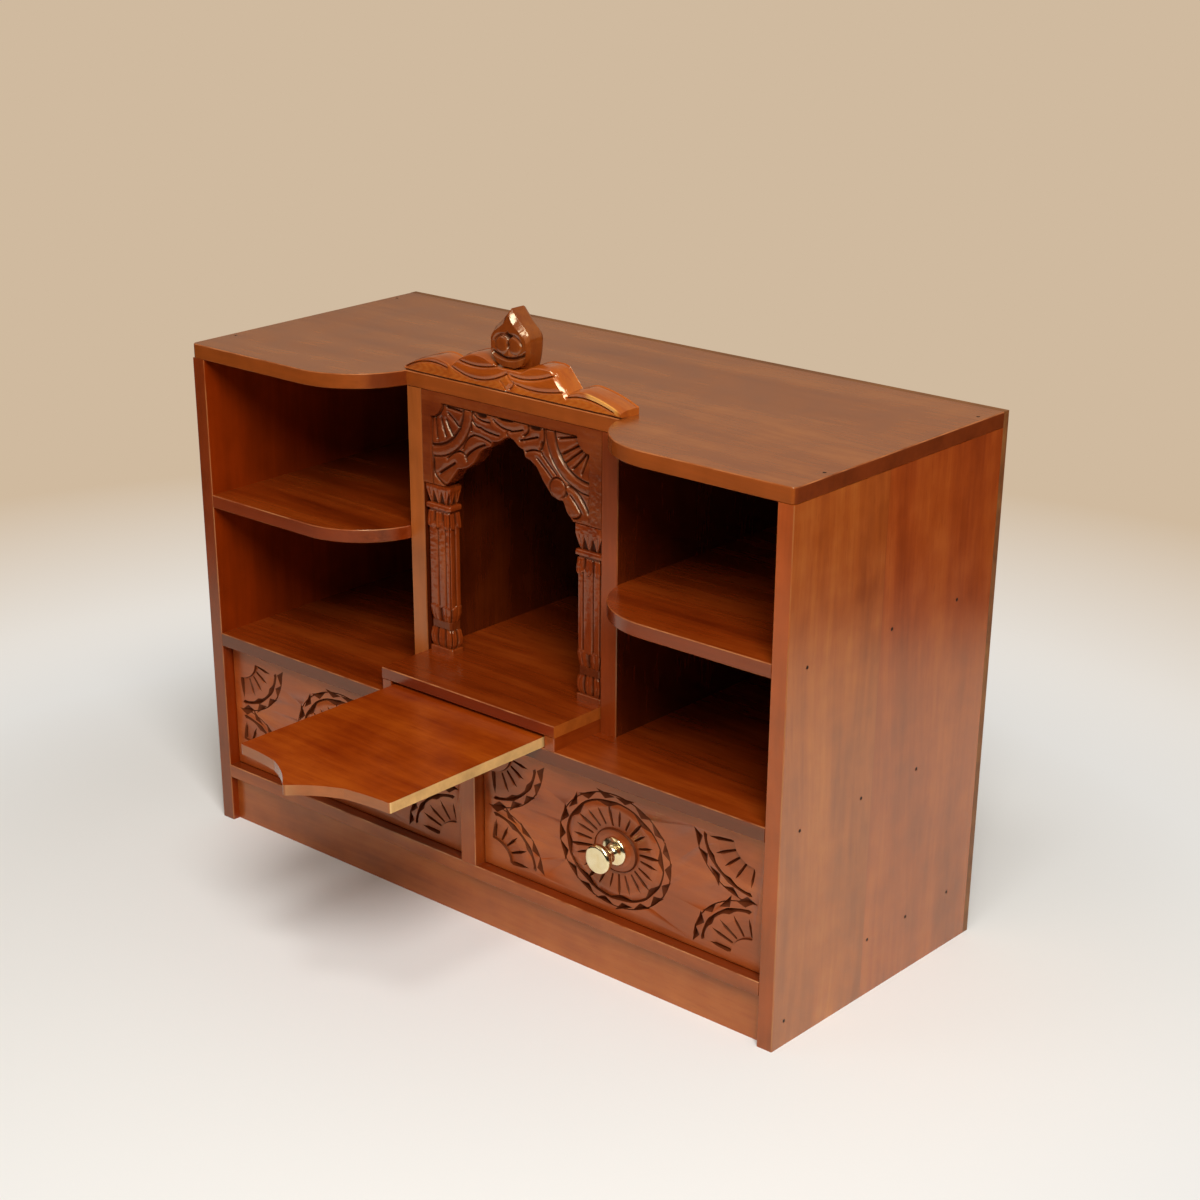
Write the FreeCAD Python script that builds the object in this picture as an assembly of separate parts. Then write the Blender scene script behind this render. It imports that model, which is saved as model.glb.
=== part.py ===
import FreeCAD, Part
import math
import os

# Tabletop home shrine in millimetres: a carved niche between open shelves, a sliding tray and two drawers.
# X runs to the right, Y to the back and Z up. The origin is the middle of the plinth's foot.

# Carcass boards
cabinet_width = 575.0
cabinet_height = 400.0
side_depth = 236.0
side_thickness = 13.0
top_thickness = 11.2
top_corner_radius = 4.0
back_thickness = 6.0
bottom_thickness = 11.0
bottom_top_height = 50.0
counter_thickness = 11.0
counter_top_height = 166.0
divider_thickness = 15.0
plinth_thickness = 13.0
plinth_setback = 6.5
edge_bevel = 0.6

# Niche and shelves
niche_width = 175.0
niche_wall_thickness = 15.0
niche_setback = 49.2
front_curve_radius = 64.0
shelf_thickness = 10.2
shelf_top_height = 281.4
platform_thickness = 9.0
platform_side_gap = 0.2
runner_width = 9.6
runner_height = 10.4

# Sliding tray, as far out as it is shown
tray_thickness = 7.8
tray_rear_gap = 20.0
tray_tip_depth = 28.0
tray_corner_round = 2.0
tray_pulled_out = 150.4
tray_side_gap = 1.9
tray_running_gap = 0.3
# Points of the tray's front from its tip to its corner, as shares of half its width and of its tip
tray_hollow_middle_share = (0.20, 0.53)
tray_hollow_end_share = (0.47, 0.14)
tray_shoulder_share = (0.74, 0.035)

# Carved arch and columns
arch_panel_thickness = 15.0
arch_panel_height = 70.8
column_width = 26.0
column_setback = 0.8
arch_rise = 49.0
# Arcs of one half of the arch from the springing to the apex: the middle and the end of each,
# as shares of the half opening and of the rise
arch_leaf_shares = ((0.905, 0.143), (0.83, 0.306))
arch_scroll_shares = ((0.726, 0.292), (0.605, 0.418))
arch_sweep_shares = ((0.408, 0.694), (0.266, 0.843))
arch_crown_shares = ((0.129, 0.937), (0.0, 1.0))
# The fluted shaft of a column, and its sections from foot to head: shares of its height, width and depth
shaft_foot_share = 0.272
shaft_head_share = 0.724
shaft_width_share = 0.80
shaft_depth_share = 0.82
column_section_shares = (
    (0.000, 0.92, 0.94),
    (0.035, 0.92, 0.94),
    (0.036, 0.84, 0.84),
    (0.095, 0.95, 0.95),
    (0.165, 0.82, 0.84),
    (0.225, 0.93, 0.93),
    (0.268, 0.91, 0.91),
    (shaft_foot_share, shaft_width_share, shaft_depth_share),
    (shaft_head_share, shaft_width_share, shaft_depth_share),
    (0.728, 0.92, 0.92),
    (0.810, 0.80, 0.82),
    (0.815, 0.93, 0.93),
    (0.850, 0.93, 0.93),
    (0.855, 0.78, 0.80),
    (0.943, 0.97, 0.97),
    (0.947, 1.00, 1.00),
    (1.000, 1.00, 1.00),
)
column_corner_share = 0.16
flute_radius = 1.5
# Flutes across the front of the shaft and across its inner side, as shares of the shaft's width and depth
front_flute_shares = (-0.30, 0.0, 0.30)
side_flute_shares = (-0.18, 0.20)

# Crest and finial on the top board
crest_overhang = 2.0
crest_height = 24.0
crest_thickness = 19.0
# One half of the crest from its end to its seat: the middle and the end of each arc,
# as shares of half its length and of its height
crest_end_share = 0.16
crest_outer_rise_shares = ((0.90, 0.44), (0.75, 0.62))
crest_outer_fall_shares = ((0.64, 0.54), (0.545, 0.35))
crest_inner_rise_shares = ((0.475, 0.76), (0.35, 1.0))
crest_inner_fall_shares = ((0.22, 0.93), (0.12, 0.75))
finial_width = 35.0
finial_height = 41.5
finial_thickness = 18.0
finial_edge_depth = 2.5
finial_face_share = 0.92
# One half of the finial from its foot to its tip, as shares of half its width and of its height
finial_foot_share = 0.36
finial_bulge_shares = ((1.0, 0.36), (0.77, 0.60))
finial_neck_shares = ((0.41, 0.77), (0.0, 1.0))

# Drawers
drawer_setback = 9.5
drawer_side_gap = 0.7
drawer_top_gap = 1.0
drawer_running_gap = 0.3
drawer_rear_gap = 6.0
drawer_front_thickness = 12.0
drawer_wall_thickness = 9.0
drawer_wall_drop = 13.7
drawer_bottom_thickness = 4.0
drawer_groove_depth = 4.5
drawer_groove_height = 7.0
groove_clearance = 0.15

# Brass knob and the screw that holds it, to one side of the drawer's middle and below it
knob_side_offset = -4.5
knob_drop = 1.4
knob_flange_radius = 11.2
knob_neck_radius = 4.2
knob_head_radius = 11.4
knob_length = 20.0
knob_flange_edge = 1.2
knob_head_thickness = 4.6
knob_face_bevel = 0.8
knob_bore_depth = 11.0
knob_neck_share = 0.5
knob_taper_share = 0.32
screw_radius = 2.0
screw_head_radius = 4.2
screw_head_height = 2.4
screw_end_gap = 1.0
screw_clearance = 0.1

# Nails and pins
nail_radius = 0.8
nail_head_radius = 1.4
nail_head_height = 1.0
nail_length = 34.0
nail_clearance = 0.05
nail_sides = 6
shelf_nail_shares = (0.09, 0.49, 0.82)
counter_nail_shares = (0.09, 0.385, 0.665)
bottom_nail_shares = (0.46, 0.66, 0.885)
top_nail_shares = (0.165, 0.905)
pin_radius = 0.7
pin_head_radius = 2.2
pin_head_height = 0.8
pin_length = 20.0
back_pin_cross_shares = (0.14, 0.38, 0.62, 0.86)
back_pin_rise_shares = (0.25, 0.55, 0.85)

# Every cut runs this far past the face that it opens
overrun = 1.0
# Points closer than this count as one place
same_place = 0.01

# Places worked out from the sizes above
half_width = cabinet_width / 2
inner_half_width = half_width - side_thickness
front = -(plinth_setback + plinth_thickness / 2)
back = front + side_depth
top_underside = cabinet_height - top_thickness
counter_underside = counter_top_height - counter_thickness
bottom_underside = bottom_top_height - bottom_thickness
niche_front = front + niche_setback
niche_half_width = niche_width / 2
niche_outer = niche_half_width + niche_wall_thickness
half_divider = divider_thickness / 2
runner_top = counter_top_height + runner_height
platform_top = runner_top + platform_thickness
springing = top_underside - arch_panel_height
column_height = springing - platform_top
arch_half_width = niche_half_width - column_width
column_depth = arch_panel_thickness - column_setback
crest_half_length = niche_outer + crest_overhang
tray_length = side_depth - tray_rear_gap
opening_width = inner_half_width - half_divider
drawer_width = opening_width - 2 * drawer_side_gap
drawer_front_height = counter_underside - bottom_top_height - drawer_top_gap - drawer_running_gap
drawer_foot = bottom_top_height + drawer_running_gap
drawer_face = front + drawer_setback
drawer_rear = back - drawer_rear_gap
drawer_middle = half_divider + opening_width / 2
knob_height = drawer_foot + drawer_front_height / 2 - knob_drop

Vector = FreeCAD.Vector
X_AXIS = Vector(1, 0, 0)
Y_AXIS = Vector(0, 1, 0)
Z_AXIS = Vector(0, 0, 1)


def block(x_range, y_range, z_range):
    """A box between two places along each axis."""
    low, high = zip(x_range, y_range, z_range)
    size = [top - bottom for bottom, top in zip(low, high)]
    return Part.makeBox(*size, Vector(*low))


def lies_at(edge, axis, place):
    """True where both ends of an edge lie in the plane across the axis."""
    return all(abs(getattr(end, axis) - place) < same_place for end in edge.Vertexes)


def is_level(edge):
    """True where an edge stays at one height."""
    return lies_at(edge, "Z", edge.Vertexes[0].Z)


def eased(shape, chosen):
    """The shape with its chosen edges bevelled a little, as sanding leaves them."""
    return shape.makeChamfer(edge_bevel, [edge for edge in shape.Edges if chosen(edge)])


def eased_front(shape):
    """A board whose long front edges are eased, upright or level as the board stands."""
    box = shape.BoundBox
    is_upright = box.ZLength > box.XLength
    return eased(shape, lambda edge: lies_at(edge, "Y", box.YMin) and is_level(edge) != is_upright)


def eased_outline(shape):
    """A level board whose outline is eased above and below, except where it reaches back."""
    box = shape.BoundBox

    def is_chosen(edge):
        reaches_back = any(abs(end.Y - box.YMax) < same_place for end in edge.Vertexes)
        return is_level(edge) and not reaches_back

    return eased(shape, is_chosen)


def mirrored(shape):
    """The same piece on the other side of the middle."""
    return shape.mirror(Vector(), X_AXIS)


def arc(start, middle, end):
    return Part.Arc(start, middle, end).toShape()


def line(start, end):
    return Part.makeLine(start, end)


def solid_of(edges, direction):
    """A prism from a closed outline."""
    return Part.Face(Part.Wire(edges)).extrude(direction)


def corner_arc(centre, radius, start_degrees, end_degrees):
    """An arc in plan about a centre, from one bearing to another."""
    bearings = (start_degrees, (start_degrees + end_degrees) / 2, end_degrees)
    turns = [math.radians(bearing) for bearing in bearings]
    return arc(*[centre + Vector(math.cos(turn), math.sin(turn)) * radius for turn in turns])


def front_curve(height):
    """The rounded front corner beside the niche, on the right, from the front edge to the niche wall."""
    centre_y = front + front_curve_radius
    rise = centre_y - niche_front
    reach = math.sqrt(front_curve_radius ** 2 - rise ** 2)
    centre = Vector(niche_outer + reach, centre_y, height)
    end_bearing = 180 + math.degrees(math.atan2(rise, reach))
    return corner_arc(centre, front_curve_radius, 270, end_bearing)


def ends(edge):
    return [vertex.Point for vertex in edge.Vertexes]


def flipped(point):
    return Vector(-point.x, point.y, point.z)


def make_top():
    """The top board, cut back over the niche and rounded on both sides of it."""
    curve = front_curve(top_underside)
    curve_front, curve_back = sorted(ends(curve), key=lambda point: point.y)
    corner_centre = Vector(half_width - top_corner_radius, front + top_corner_radius, top_underside)
    corner = corner_arc(corner_centre, top_corner_radius, 270, 360)
    corner_front, corner_side = sorted(ends(corner), key=lambda point: point.y)
    rear = Vector(half_width, back, top_underside)
    half = [line(curve_front, corner_front), corner, line(corner_side, rear)]
    other_half = [mirrored(edge) for edge in [curve] + half]
    header = line(flipped(curve_back), curve_back)
    outline = [header, curve] + half + [line(rear, flipped(rear))] + other_half
    board = solid_of(Part.__sortEdges__(outline), Z_AXIS * top_thickness)
    return eased(board, lambda edge: is_level(edge) and not lies_at(edge, "Y", back))


def make_shelf():
    """The right shelf, between the side panel and the niche wall."""
    height = shelf_top_height - shelf_thickness
    curve = front_curve(height)
    curve_front, curve_back = sorted(ends(curve), key=lambda point: point.y)
    corner = Vector(inner_half_width, front, height)
    rear = Vector(inner_half_width, back, height)
    inner_rear = Vector(niche_outer, back, height)
    corners = [curve_front, corner, rear, inner_rear, curve_back]
    outline = [curve] + [line(start, end) for start, end in zip(corners, corners[1:])]
    return eased_outline(solid_of(Part.__sortEdges__(outline), Z_AXIS * shelf_thickness))


def make_tray():
    """The sliding tray, with a front that sweeps forward to a tip in the middle."""
    half = niche_half_width - platform_side_gap - runner_width - tray_side_gap
    corner_y = front - tray_pulled_out
    height = counter_top_height + tray_running_gap

    def at(share):
        return Vector(half * share[0], corner_y - tray_tip_depth * share[1], height)

    tip = at((0, 1))
    hollow = arc(tip, at(tray_hollow_middle_share), at(tray_hollow_end_share))
    shoulder = arc(at(tray_hollow_end_share), at(tray_shoulder_share), at((1, 0)))
    rear = Vector(half, corner_y + tray_length, height)
    half_outline = [hollow, shoulder, line(at((1, 0)), rear)]
    outline = half_outline + [line(rear, flipped(rear))] + [mirrored(edge) for edge in half_outline]
    board = solid_of(Part.__sortEdges__(outline), Z_AXIS * tray_thickness)
    corners = [edge for edge in board.Edges if lies_at(edge, "Y", tip.y) or lies_at(edge, "Y", corner_y)]
    return board.makeFillet(tray_corner_round, corners)


def chain_of_arcs(start, arcs, at):
    """Arcs joined end to end, each given by the shares of its middle and its end."""
    edges = []
    for middle_share, end_share in arcs:
        end = at(end_share)
        edges.append(arc(start, at(middle_share), end))
        start = end
    return edges


def make_arch_panel():
    """The panel over the columns, cut below by a cusped arch."""

    def at(share):
        return Vector(arch_half_width * share[0], niche_front, springing + arch_rise * share[1])

    foot = at((1, 0))
    shares = (arch_leaf_shares, arch_scroll_shares, arch_sweep_shares, arch_crown_shares)
    outer_foot = Vector(niche_half_width, niche_front, springing)
    outer_head = Vector(niche_half_width, niche_front, top_underside)
    half = chain_of_arcs(foot, shares, at) + [line(foot, outer_foot), line(outer_foot, outer_head)]
    outline = half + [line(outer_head, flipped(outer_head))] + [mirrored(edge) for edge in half]
    return solid_of(Part.__sortEdges__(outline), Y_AXIS * arch_panel_thickness)


def rounded_section(width, depth, height):
    """A rectangle in plan with rounded corners, about the Z axis."""
    radius = column_corner_share * depth
    edges = []
    inner_x = width / 2 - radius
    inner_y = depth / 2 - radius
    corners = [(inner_x, inner_y), (-inner_x, inner_y), (-inner_x, -inner_y), (inner_x, -inner_y)]
    quarter = 90
    arcs = [
        corner_arc(Vector(*corner, height), radius, quarter * turn, quarter * (turn + 1))
        for turn, corner in enumerate(corners)
    ]
    for this, following in zip(arcs, arcs[1:] + arcs[:1]):
        edges.append(this)
        edges.append(line(this.valueAt(this.LastParameter), following.valueAt(following.FirstParameter)))
    return Part.Wire(edges)


def make_column():
    """The right column: a moulded base, a fluted shaft and a spreading head under a plain block."""
    sections = [
        rounded_section(column_width * width, column_depth * depth, column_height * height)
        for height, width, depth in column_section_shares
    ]
    column = Part.makeLoft(sections, True, True)
    shaft_width = column_width * shaft_width_share
    shaft_depth = column_depth * shaft_depth_share
    foot = column_height * shaft_foot_share
    length = column_height * (shaft_head_share - shaft_foot_share)
    fronts = [Vector(shaft_width * share, -shaft_depth / 2, foot) for share in front_flute_shares]
    sides = [Vector(-shaft_width / 2, shaft_depth * share, foot) for share in side_flute_shares]
    flutes = [Part.makeCylinder(flute_radius, length, place) for place in fronts + sides]
    column = column.cut(flutes)
    middle_y = niche_front + arch_panel_thickness - column_depth / 2
    column.translate(Vector(niche_half_width - column_width / 2, middle_y, platform_top))
    return column


def make_crest():
    """The wave-edged board that stands over the niche, with a seat for the finial."""

    def at(share):
        return Vector(crest_half_length * share[0], niche_front, cabinet_height + crest_height * share[1])

    outer_shares = (crest_outer_rise_shares, crest_outer_fall_shares)
    inner_shares = (crest_inner_rise_shares, crest_inner_fall_shares)
    end_foot = at((1, 0))
    end_head = at((1, crest_end_share))
    seat = at(crest_inner_fall_shares[-1])
    half = [line(end_foot, end_head)] + chain_of_arcs(end_head, outer_shares + inner_shares, at)
    outline = half + [mirrored(edge) for edge in half]
    outline += [line(end_foot, flipped(end_foot)), line(seat, flipped(seat))]
    return solid_of(Part.__sortEdges__(outline), Y_AXIS * crest_thickness)


def make_finial():
    """The bud on the crest: round below, drawn in to a point above."""
    seat_height = cabinet_height + crest_height * crest_inner_fall_shares[-1][1]
    face = niche_front + (crest_thickness - finial_thickness) / 2

    def at(share):
        return Vector(finial_width / 2 * share[0], face, seat_height + finial_height * share[1])

    foot = at((finial_foot_share, 0))
    half = chain_of_arcs(foot, (finial_bulge_shares, finial_neck_shares), at)
    edges = half + [mirrored(edge) for edge in half] + [line(foot, flipped(foot))]
    outline = Part.Wire(Part.__sortEdges__(edges))
    sections = []
    for depth, share in (
        (0, finial_face_share),
        (finial_edge_depth, 1),
        (finial_thickness - finial_edge_depth, 1),
        (finial_thickness, finial_face_share),
    ):
        section = outline.copy()
        section.scale(share, Vector(0, face, seat_height))
        section.translate(Y_AXIS * depth)
        sections.append(section)
    return Part.makeLoft(sections, True, True)


def make_knob(across):
    """A turned brass knob with a spread foot, a thin neck and a flat round head, and its screw."""
    neck = -knob_length * knob_neck_share
    taper = -knob_length * knob_taper_share
    head_back = -(knob_length - knob_head_thickness)

    def at(radius, along):
        return Vector(radius, along, 0)

    foot_edge = at(knob_flange_radius, -knob_flange_edge)
    neck_start = at(knob_neck_radius, neck)
    head_edge = at(knob_head_radius, head_back)
    face_edge = at(knob_head_radius, knob_face_bevel - knob_length)
    face_start = at(knob_head_radius - knob_face_bevel, -knob_length)
    hollow = (knob_flange_radius + 3 * knob_neck_radius) / 4
    flare = (knob_head_radius + 3 * knob_neck_radius) / 4
    edges = [
        line(at(0, 0), at(knob_flange_radius, 0)),
        line(at(knob_flange_radius, 0), foot_edge),
        arc(foot_edge, at(hollow, taper), neck_start),
        arc(neck_start, at(flare, (neck + 3 * head_back) / 4), head_edge),
        line(head_edge, face_edge),
        line(face_edge, face_start),
        line(face_start, at(0, -knob_length)),
        line(at(0, -knob_length), at(0, 0)),
    ]
    knob = Part.Face(Part.Wire(edges)).revolve(Vector(), Y_AXIS, 360)
    bore_radius = screw_radius + screw_clearance
    bore = Part.makeCylinder(bore_radius, knob_bore_depth + overrun, at(0, overrun), -Y_AXIS)
    shank_length = drawer_front_thickness + knob_bore_depth - screw_end_gap
    shank = Part.makeCylinder(screw_radius, shank_length, at(0, drawer_front_thickness), -Y_AXIS)
    head = Part.makeCylinder(screw_head_radius, screw_head_height, at(0, drawer_front_thickness), Y_AXIS)
    knob = knob.cut(bore)
    screw = shank.fuse(head).removeSplitter()
    for piece in (knob, screw):
        piece.translate(Vector(across, drawer_face, knob_height))
    return knob, screw


def make_drawer(name, middle):
    """A drawer about its middle: front, two walls, back, and a thin bottom in grooves, with its knob."""
    half = drawer_width / 2
    inner = half - drawer_wall_thickness
    left, right = middle - half, middle + half
    knob_across = middle + knob_side_offset
    front_back = drawer_face + drawer_front_thickness
    groove_foot = drawer_foot + drawer_groove_height
    groove_head = groove_foot + drawer_bottom_thickness
    wall_head = drawer_foot + drawer_front_height - drawer_wall_drop
    reach = inner + drawer_groove_depth - groove_clearance
    panel_front = front_back - drawer_groove_depth + groove_clearance
    bottom = block((middle - reach, middle + reach), (panel_front, drawer_rear),
                   (groove_foot + groove_clearance, groove_head - groove_clearance))
    groove = block((middle - inner - drawer_groove_depth, middle + inner + drawer_groove_depth),
                   (front_back - drawer_groove_depth, drawer_rear + overrun), (groove_foot, groove_head))
    face = block((left, right), (drawer_face, front_back), (drawer_foot, drawer_foot + drawer_front_height))
    face = eased(face, lambda edge: lies_at(edge, "Y", drawer_face))
    hole = Part.makeCylinder(screw_radius + screw_clearance, drawer_front_thickness + 2 * overrun,
                             Vector(knob_across, drawer_face - overrun, knob_height), Y_AXIS)
    wall_span = (front_back, drawer_rear)
    left_wall = block((left, left + drawer_wall_thickness), wall_span, (drawer_foot, wall_head))
    right_wall = block((right - drawer_wall_thickness, right), wall_span, (drawer_foot, wall_head))
    rear_wall = block((middle - inner, middle + inner), (drawer_rear - drawer_wall_thickness, drawer_rear),
                      (groove_head, wall_head))
    knob, screw = make_knob(knob_across)
    return {
        name + "_drawer_front": face.cut([groove, hole]),
        name + "_drawer_left_wall": left_wall.cut(groove),
        name + "_drawer_right_wall": right_wall.cut(groove),
        name + "_drawer_back": rear_wall,
        name + "_drawer_bottom": bottom,
        name + "_knob": knob,
        name + "_knob_screw": screw,
    }


def rod(radius, length, place, direction):
    """A straight rod with a few flat sides, for pieces too small to need more."""
    turns = [2 * math.pi * side / nail_sides for side in range(nail_sides + 1)]
    section = Part.Face(Part.makePolygon([Vector(math.cos(turn), math.sin(turn)) * radius for turn in turns]))
    piece = section.extrude(Z_AXIS * length)
    piece.Placement = FreeCAD.Placement(place, FreeCAD.Rotation(Z_AXIS, direction))
    return piece


def nail(place, direction, radius, length, head_radius, head_height, clearance=0.0):
    """A nail driven from its place along a direction, with its head level with the face there.

    With a clearance and the same sizes it is the hole that the nail fills."""
    shank = rod(radius + clearance, length + clearance, place, direction)
    head = rod(head_radius + clearance, head_height + clearance, place, direction)
    return shank.fuse(head).removeSplitter()


def side_nail_places():
    """Nails through the right side panel into the shelf, the counter, the bottom board and the plinth."""
    rows = (
        (shelf_top_height - shelf_thickness / 2, shelf_nail_shares),
        (counter_top_height - counter_thickness / 2, counter_nail_shares),
        (bottom_top_height - bottom_thickness / 2, bottom_nail_shares),
    )
    places = [
        Vector(half_width, front + side_depth * share, height)
        for height, shares in rows for share in shares
    ]
    plinth_middle = front + plinth_setback + plinth_thickness / 2
    return places + [Vector(half_width, plinth_middle, bottom_underside / 2)]


def top_nail_places():
    """Nails through the top board into the right side panel."""
    middle = half_width - side_thickness / 2
    return [Vector(middle, front + side_depth * share, cabinet_height) for share in top_nail_shares]


def back_pin_places():
    """Pins through the back panel into the boards behind which it lies."""
    rear = back + back_thickness
    heights = (cabinet_height - top_thickness / 2, counter_top_height - counter_thickness / 2,
               bottom_top_height - bottom_thickness / 2)
    level = [
        Vector(-half_width + cabinet_width * share, rear, height)
        for height in heights for share in back_pin_cross_shares
    ]
    middle = half_width - side_thickness / 2
    upright = [
        Vector(side * middle, rear, cabinet_height * share)
        for side in (-1, 1) for share in back_pin_rise_shares
    ]
    return level + upright


def make_nails():
    """Each group of nails, and the holes that they fill in the boards."""
    nail_sizes = (nail_radius, nail_length, nail_head_radius, nail_head_height)
    pin_sizes = (pin_radius, pin_length, pin_head_radius, pin_head_height)
    right = [(place, -X_AXIS) for place in side_nail_places()]
    top = [(place, -Z_AXIS) for place in top_nail_places()]
    groups = {
        "side_nails": (right + [(flipped(place), X_AXIS) for place, _ in right], nail_sizes),
        "top_nails": (top + [(flipped(place), -Z_AXIS) for place, _ in top], nail_sizes),
        "back_pins": ([(place, -Y_AXIS) for place in back_pin_places()], pin_sizes),
    }
    nails = {}
    holes = []
    for name, (places, sizes) in groups.items():
        nails[name] = Part.makeCompound([nail(*place, *sizes) for place in places])
        holes += [nail(*place, *sizes, nail_clearance) for place in places]
    return nails, holes


def make_carcass():
    """The boards of the cabinet, from the floor up."""
    depth = (front, back)
    across = (-inner_half_width, inner_half_width)
    side = eased_front(block((inner_half_width, half_width), depth, (0, top_underside)))
    wall_span = (counter_top_height, top_underside)
    wall = eased_front(block((niche_half_width, niche_outer), (niche_front, back), wall_span))
    platform_half = niche_half_width - platform_side_gap
    runner = block((platform_half - runner_width, platform_half), depth, (counter_top_height, runner_top))
    runner = eased_front(runner)
    platform = block((-platform_half, platform_half), depth, (runner_top, platform_top))
    shelf = make_shelf()
    plinth_front = front + plinth_setback
    divider = block((-half_divider, half_divider), depth, (bottom_top_height, counter_underside))
    boards = {
        "plinth_board": block(across, (plinth_front, plinth_front + plinth_thickness), (0, bottom_underside)),
        "bottom_board": eased_front(block(across, depth, (bottom_underside, bottom_top_height))),
        "drawer_divider": eased_front(divider),
        "counter_board": eased_front(block(across, depth, (counter_underside, counter_top_height))),
        "niche_platform": eased_front(platform),
        "top_panel": make_top(),
        "back_panel": block((-half_width, half_width), (back, back + back_thickness), (0, cabinet_height)),
    }
    pairs = {"side_panel": side, "niche_wall": wall, "shelf": shelf, "tray_runner": runner}
    for name, piece in pairs.items():
        boards["right_" + name] = piece
        boards["left_" + name] = mirrored(piece)
    return boards


def make_parts():
    """Every piece of the shrine by name."""
    nails, holes = make_nails()
    parts = {}
    for name, board in make_carcass().items():
        crossing = [hole for hole in holes if hole.BoundBox.intersect(board.BoundBox)]
        parts[name] = board.cut(crossing) if crossing else board
    column = make_column()
    parts["arch_panel"] = make_arch_panel()
    parts["right_column"] = column
    parts["left_column"] = mirrored(column)
    parts["crest"] = make_crest()
    parts["finial"] = make_finial()
    parts["tray"] = make_tray()
    parts.update(make_drawer("left", -drawer_middle))
    parts.update(make_drawer("right", drawer_middle))
    parts.update(nails)
    return parts


os.makedirs("parts", exist_ok=True)
for part_name, part_shape in make_parts().items():
    part_shape.exportStep(os.path.join("parts", part_name + ".step"))
    print(part_name, len(part_shape.Solids), part_shape.isValid(), round(part_shape.Volume))
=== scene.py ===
import math
import random

import bpy
import numpy as np
from mathutils import Matrix, Vector


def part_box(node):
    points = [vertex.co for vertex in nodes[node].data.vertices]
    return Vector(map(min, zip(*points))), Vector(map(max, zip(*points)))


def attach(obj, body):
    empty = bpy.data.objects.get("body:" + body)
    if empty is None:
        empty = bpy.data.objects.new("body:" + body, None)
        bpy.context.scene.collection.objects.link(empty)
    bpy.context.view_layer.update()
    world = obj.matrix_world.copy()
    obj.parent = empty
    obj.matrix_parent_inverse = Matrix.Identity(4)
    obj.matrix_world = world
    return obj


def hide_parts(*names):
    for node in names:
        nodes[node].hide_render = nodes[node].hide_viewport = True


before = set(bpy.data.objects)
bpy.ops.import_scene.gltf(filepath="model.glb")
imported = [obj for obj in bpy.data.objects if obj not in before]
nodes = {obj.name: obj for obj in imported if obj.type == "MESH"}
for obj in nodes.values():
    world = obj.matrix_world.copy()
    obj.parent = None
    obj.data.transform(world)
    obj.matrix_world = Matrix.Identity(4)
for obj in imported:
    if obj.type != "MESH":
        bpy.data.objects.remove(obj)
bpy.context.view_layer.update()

# The tabletop shrine's looks: stained and varnished boards, hand carving and brass knobs.
# Carving is written in millimetres and turned to metres when a mesh is placed.
MM = 0.001
chisel = random.Random(7)


def linear(hex_colour):
    """An sRGB hex colour as the linear values that shaders take."""
    parts = [int(hex_colour[i:i + 2], 16) / 255 for i in (1, 3, 5)]
    return tuple(c / 12.92 if c <= 0.04045 else ((c + 0.055) / 1.055) ** 2.4 for c in parts) + (1.0,)


def add(tree, kind, links=(), stops=(), **settings):
    """Adds a node: links fill its sockets with values, sockets or nodes' first outputs, stops fill a ramp."""
    made = tree.nodes.new("ShaderNode" + kind)
    for name, value in settings.items():
        setattr(made, name, value)
    for socket, value in dict(links).items():
        if isinstance(value, bpy.types.Node):
            value = value.outputs[0]
        if isinstance(value, bpy.types.NodeSocket):
            tree.links.new(value, made.inputs[socket])
        else:
            made.inputs[socket].default_value = value
    for i, (place, colour) in enumerate(stops):
        ramp = made.color_ramp.elements
        stop = ramp[i] if i < 2 else ramp.new(place)
        stop.position = place
        stop.color = colour
    return made


def bare_tree(owner):
    """The emptied node tree of a new material or world."""
    owner.use_nodes = True
    owner.node_tree.nodes.clear()
    return owner.node_tree


def box_mm(node):
    """A node's lowest and highest corners in millimetres."""
    low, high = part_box(node)
    return low / MM, high / MM


# Carving tools

def eased(value, low, high):
    """How far value has gone from low to high, eased at both ends, from 0 to 1."""
    t = np.clip((value - low) / (high - low), 0, 1)
    return t * t * (3 - 2 * t)


def notch(value, middle, half):
    """A V from 1 at the middle down to 0 at half to each side."""
    return np.clip(1 - np.abs(value - middle) / half, 0, 1)


def swept(t, first, middle, last):
    """Points at shares t of a smooth sweep through three points."""
    return [a * 2 * (t - 0.5) * (t - 1) + b * 4 * t * (1 - t) + c * 2 * t * (t - 0.5)
            for a, b, c in zip(first, middle, last)]


def edge_height(x, sweeps):
    """Height over x of an outline made of sweeps that each pass through three points."""
    slack = 1e-6
    height = np.zeros_like(x)
    for points in sweeps:
        xs, zs = zip(*points)
        inside = (x >= min(xs) - slack) & (x <= max(xs) + slack)
        height = np.where(inside, np.polyval(np.polyfit(xs, zs, 2), x), height)
    return height


def from_line(x, z, points, pieces=14):
    """Signed distance of each x, z from a swept line."""
    line_x, line_z = swept(np.linspace(0, 1, pieces + 1), *points)
    nearest = np.full(x.shape, np.inf)
    side = np.zeros(x.shape)
    for i in range(pieces):
        run_x, run_z = line_x[i + 1] - line_x[i], line_z[i + 1] - line_z[i]
        off_x, off_z = x - line_x[i], z - line_z[i]
        t = np.clip((off_x * run_x + off_z * run_z) / (run_x ** 2 + run_z ** 2), 0, 1)
        gap = np.hypot(off_x - t * run_x, off_z - t * run_z)
        closer = gap < nearest
        nearest = np.where(closer, gap, nearest)
        side = np.where(closer, np.sign(run_x * off_z - run_z * off_x), side)
    return nearest * side


def only(piece):
    """Selects one piece alone and makes it the active one."""
    bpy.ops.object.select_all(action="DESELECT")
    piece.select_set(True)
    bpy.context.view_layer.objects.active = piece


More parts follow.
